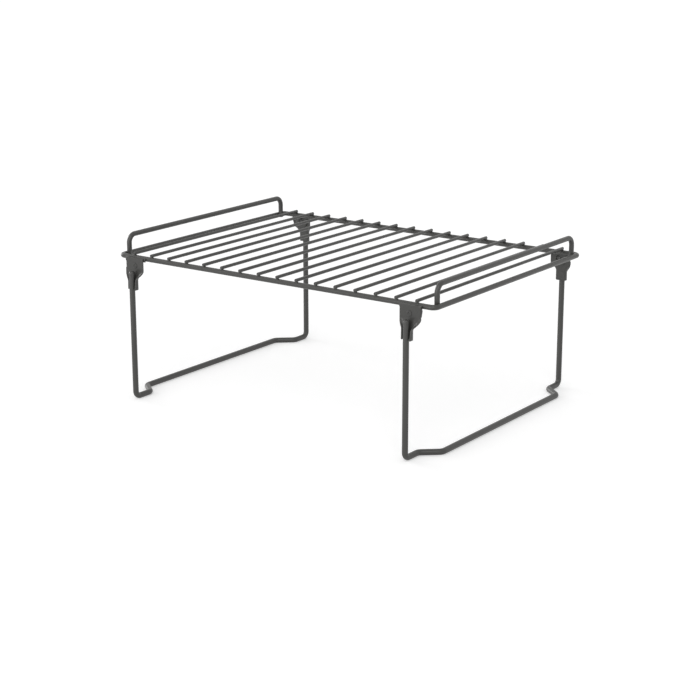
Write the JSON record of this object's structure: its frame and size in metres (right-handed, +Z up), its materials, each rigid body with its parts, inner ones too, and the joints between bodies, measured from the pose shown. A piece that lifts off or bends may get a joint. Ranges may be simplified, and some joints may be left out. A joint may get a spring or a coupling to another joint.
{
  "type": "stackable wire shelf",
  "caption": "Low wire shelf with a slatted wire deck, raised side rails and two bent-wire legs that fold flat under the deck on riveted brackets.",
  "frame": {"origin": "on the floor, below the middle of the shelf's footprint", "axes": "+X to the right along the front edge, +Y to the back, +Z up"},
  "size_m": [0.33, 0.255, 0.145],
  "materials": {
    "coated_steel": "satin dark grey powder coat"
  },
  "bodies": {
    "deck": {"frame_rod": "coated_steel", "deck_wire_01": "coated_steel", "deck_wire_02": "coated_steel", "deck_wire_03": "coated_steel", "deck_wire_04": "coated_steel", "deck_wire_05": "coated_steel", "deck_wire_06": "coated_steel", "deck_wire_07": "coated_steel", "deck_wire_08": "coated_steel", "deck_wire_09": "coated_steel", "deck_wire_10": "coated_steel", "deck_wire_11": "coated_steel", "deck_wire_12": "coated_steel", "deck_wire_13": "coated_steel", "deck_wire_14": "coated_steel", "deck_wire_15": "coated_steel", "deck_wire_16": "coated_steel", "side_rail_left": "coated_steel", "side_rail_right": "coated_steel", "hinge_lug_front_left": "coated_steel", "hinge_lug_front_right": "coated_steel", "hinge_lug_back_left": "coated_steel", "hinge_lug_back_right": "coated_steel", "rivet_front_left": "coated_steel", "rivet_front_right": "coated_steel", "rivet_back_left": "coated_steel", "rivet_back_right": "coated_steel"},
    "left_leg": {"leg_wire_left": "coated_steel", "leg_bracket_front_left": "coated_steel", "leg_bracket_back_left": "coated_steel"},
    "right_leg": {"leg_wire_right": "coated_steel", "leg_bracket_front_right": "coated_steel", "leg_bracket_back_right": "coated_steel"}
  },
  "joints": [
    {"name": "left_leg_fold", "type": "hinge", "parent": "deck", "child": "left_leg", "pos_m": [-0.1424, 0, 0.1198], "axis": [0, -1, 0], "range_deg": [0, 90]},
    {"name": "right_leg_fold", "type": "hinge", "parent": "deck", "child": "right_leg", "pos_m": [0.1424, 0, 0.1198], "axis": [0, 1, 0], "range_deg": [0, 90]}
  ]
}
